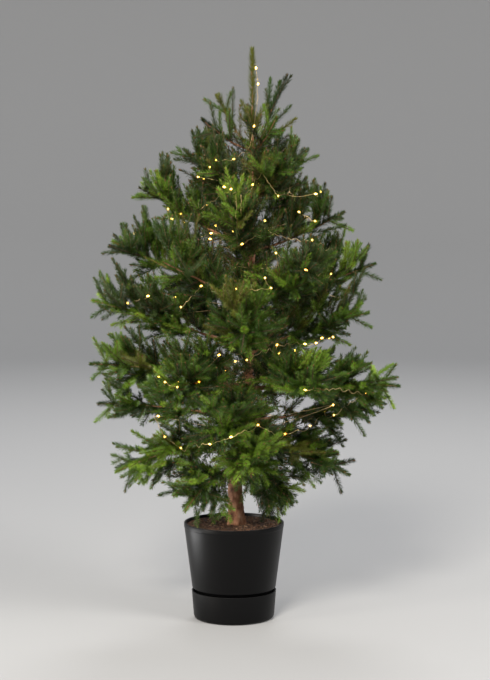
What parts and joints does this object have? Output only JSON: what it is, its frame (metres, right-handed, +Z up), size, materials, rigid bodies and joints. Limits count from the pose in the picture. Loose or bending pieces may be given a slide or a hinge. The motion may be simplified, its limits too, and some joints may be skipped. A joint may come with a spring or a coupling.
{
  "type": "christmas tree",
  "caption": "Young potted spruce dressed with fairy lights: a tapering trunk with whorls of needle-clad branches, in a round black pot that stands in its saucer.",
  "frame": {"origin": "centre of the saucer's flat underside, on the floor", "axes": "+Z up along the trunk, +X to the right of the front view, +Y to the back"},
  "size_m": [0.8973, 0.8026, 1.668],
  "materials": {
    "pot": "satin black plastic with a slightly shinier rim",
    "saucer": "satin black plastic",
    "compost": "moist dark compost with bark chips",
    "bark": "red-brown flaky bark",
    "needles": "live spruce needles, dark inside and fresh green at the tips",
    "light_wire": "bare copper-coloured wire, a fraction of a millimetre thick",
    "light_bulb": "clear resin drops that glow warm white"
  },
  "bodies": {
    "root": {"bough_3_back": "bark", "bough_3_front": "bark", "bough_3_left": "bark", "bough_3_right": "bark", "bough_4_back": "bark", "bough_4_front_left": "bark", "bough_4_front_right": "bark", "bough_4_left": "bark", "bough_4_right": "bark", "bough_5_back_left": "bark", "bough_5_back_right": "bark", "bough_5_front": "bark", "bough_5_left": "bark", "bough_5_right": "bark", "leader": "needles", "needles_1_front_left": "needles", "needles_1_front_right": "needles", "needles_2_back": "needles", "needles_2_front": "needles", "needles_2_left": "needles", "needles_2_right": "needles", "needles_3_back": "needles", "needles_3_front": "needles", "needles_3_left": "needles", "needles_3_right": "needles", "needles_4_back": "needles", "needles_4_front_left": "needles", "needles_4_front_right": "needles", "needles_4_left": "needles", "needles_4_right": "needles", "needles_5_back_left": "needles", "needles_5_back_right": "needles", "needles_5_front": "needles", "needles_5_left": "needles", "needles_5_right": "needles", "needles_6_back": "needles", "needles_6_front_left": "needles", "needles_6_front_right": "needles", "needles_6_left": "needles", "needles_6_right": "needles", "needles_7_back_left": "needles", "needles_7_back_right": "needles", "needles_7_front": "needles", "needles_7_left": "needles", "needles_7_right": "needles", "needles_8_back": "needles", "needles_8_front_left": "needles", "needles_8_front_right": "needles", "needles_8_left": "needles", "needles_8_right": "needles", "needles_9_back": "needles", "needles_9_front_left": "needles", "needles_9_front_right": "needles", "needles_9_left": "needles", "needles_9_right": "needles", "pot": "pot", "saucer": "saucer", "soil": "compost", "trunk": "bark"}
  },
  "joints": []
}
